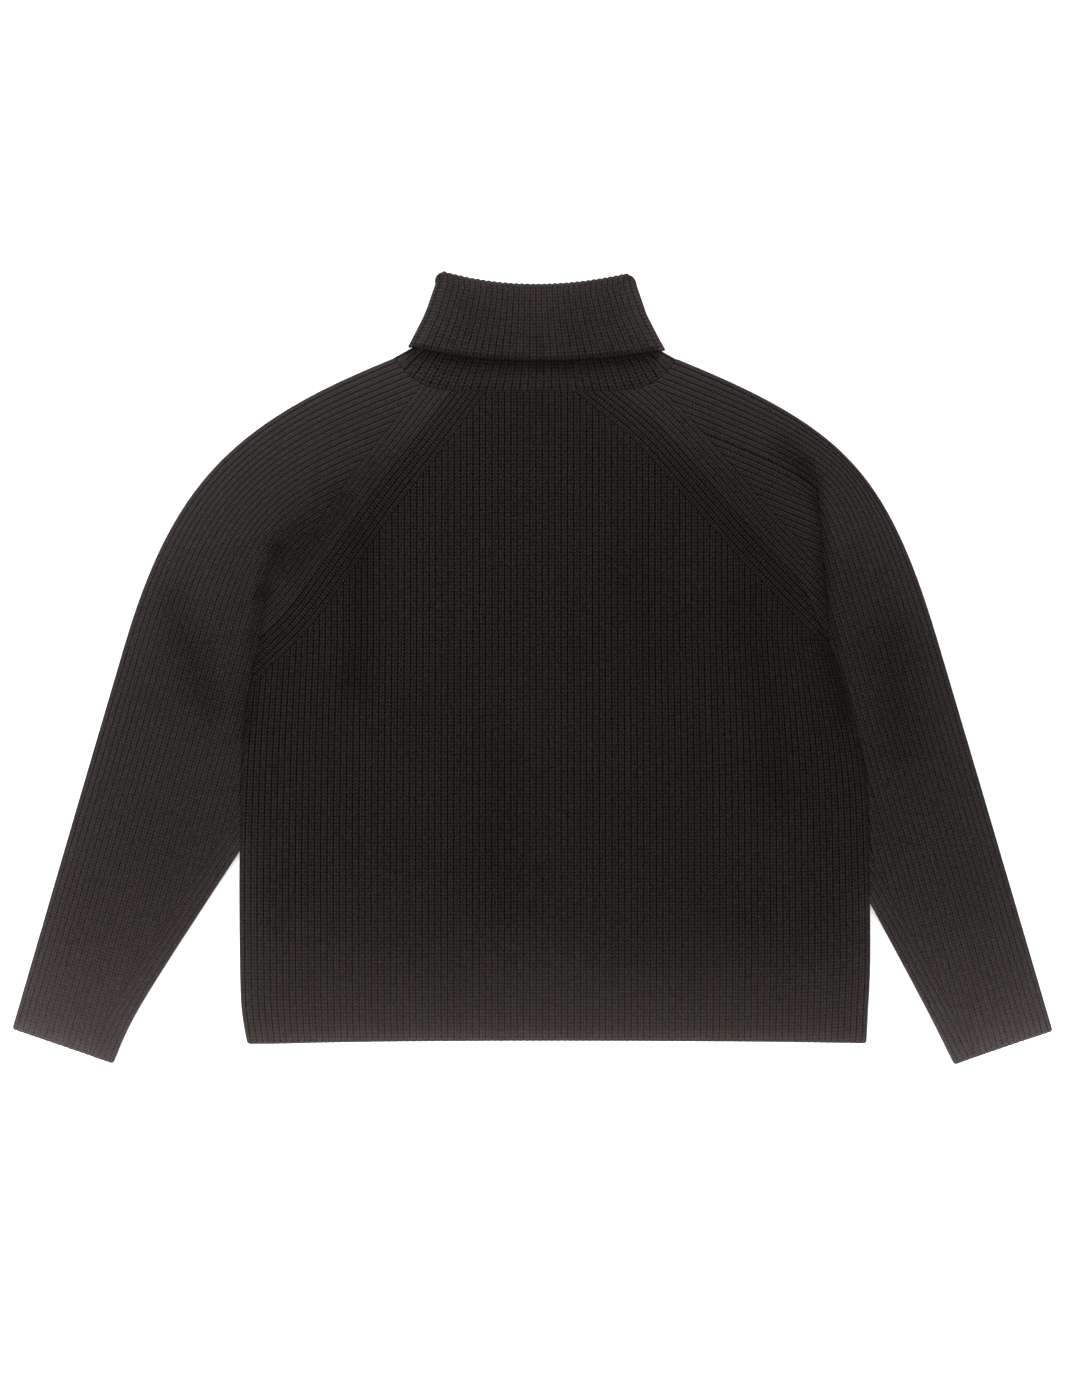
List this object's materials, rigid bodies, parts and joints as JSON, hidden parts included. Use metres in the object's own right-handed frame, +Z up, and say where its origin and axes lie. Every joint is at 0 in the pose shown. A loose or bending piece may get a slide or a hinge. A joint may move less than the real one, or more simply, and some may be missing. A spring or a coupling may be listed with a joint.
{
  "type": "turtleneck sweater",
  "caption": "Boxy ribbed wool sweater with raglan sleeves and a folded turtleneck, laid flat on its back with the sleeves down beside the body.",
  "frame": {"origin": "on the surface the sweater lies on, under the middle of its overall outline", "axes": "+X across the garment towards its left sleeve as worn, +Y from the hem to the collar, +Z up out of the front"},
  "size_m": [0.9564, 0.7267, 0.0124],
  "materials": {
    "knit_body": "matt wool rib knit with a faint nap",
    "knit_sleeves": "matt wool rib knit with a faint nap",
    "knit_collar": "matt wool rib knit with a faint nap"
  },
  "bodies": {
    "root": {"front": "knit_body", "back": "knit_body", "sleeve_right": "knit_sleeves", "sleeve_left": "knit_sleeves", "collar": "knit_collar"}
  },
  "joints": []
}
